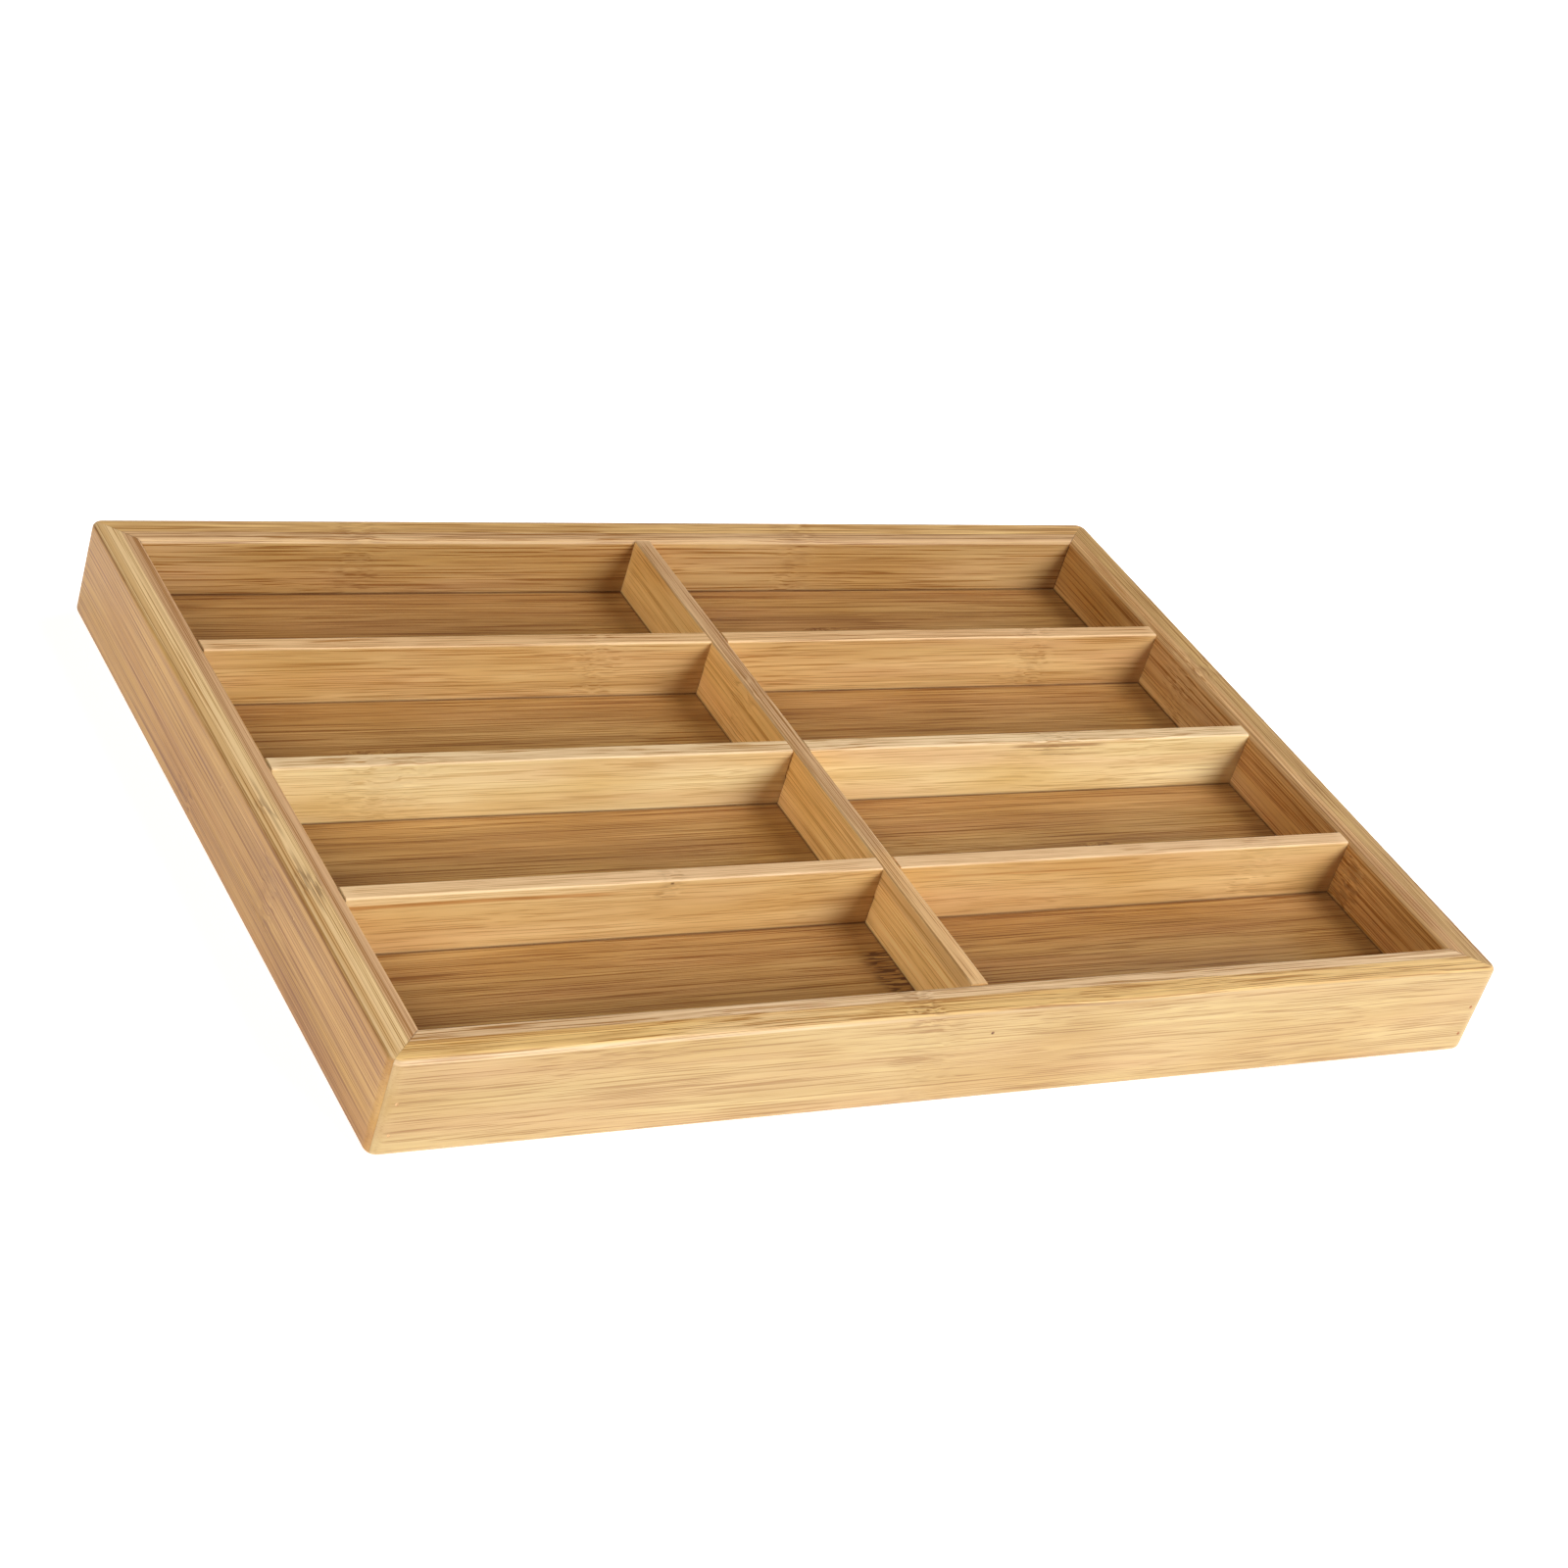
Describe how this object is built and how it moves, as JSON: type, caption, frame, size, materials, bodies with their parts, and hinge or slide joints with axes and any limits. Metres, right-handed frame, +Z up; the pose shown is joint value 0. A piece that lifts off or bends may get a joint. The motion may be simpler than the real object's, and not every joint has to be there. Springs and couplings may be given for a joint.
{
  "type": "glasses organizer tray",
  "caption": "Low open bamboo tray with a mitred frame and half-lapped dividers that make compartments, each for one folded pair of glasses.",
  "frame": {"origin": "centre of the tray's underside", "axes": "+X along the tray's length, +Y from the front rail towards the back rail, +Z up out of the compartments"},
  "size_m": [0.355, 0.249, 0.031],
  "materials": {
    "rail_bamboo": "satin, clear-coated natural bamboo, grain along the rail",
    "panel_bamboo": "satin natural bamboo, grain along X",
    "divider_bamboo": "satin natural bamboo, grain along the divider",
    "pin_steel": "dull, level with the wood"
  },
  "bodies": {
    "root": {"front_rail": "rail_bamboo", "back_rail": "rail_bamboo", "left_rail": "rail_bamboo", "right_rail": "rail_bamboo", "base_panel": "panel_bamboo", "centre_divider": "divider_bamboo", "front_cross_divider": "divider_bamboo", "middle_cross_divider": "divider_bamboo", "back_cross_divider": "divider_bamboo", "front_left_corner_pins": "pin_steel", "front_right_corner_pins": "pin_steel", "back_left_corner_pins": "pin_steel", "back_right_corner_pins": "pin_steel", "centre_divider_front_pin": "pin_steel", "centre_divider_back_pin": "pin_steel", "front_cross_divider_left_pin": "pin_steel", "front_cross_divider_right_pin": "pin_steel", "middle_cross_divider_left_pin": "pin_steel", "middle_cross_divider_right_pin": "pin_steel", "back_cross_divider_left_pin": "pin_steel", "back_cross_divider_right_pin": "pin_steel"}
  },
  "joints": []
}
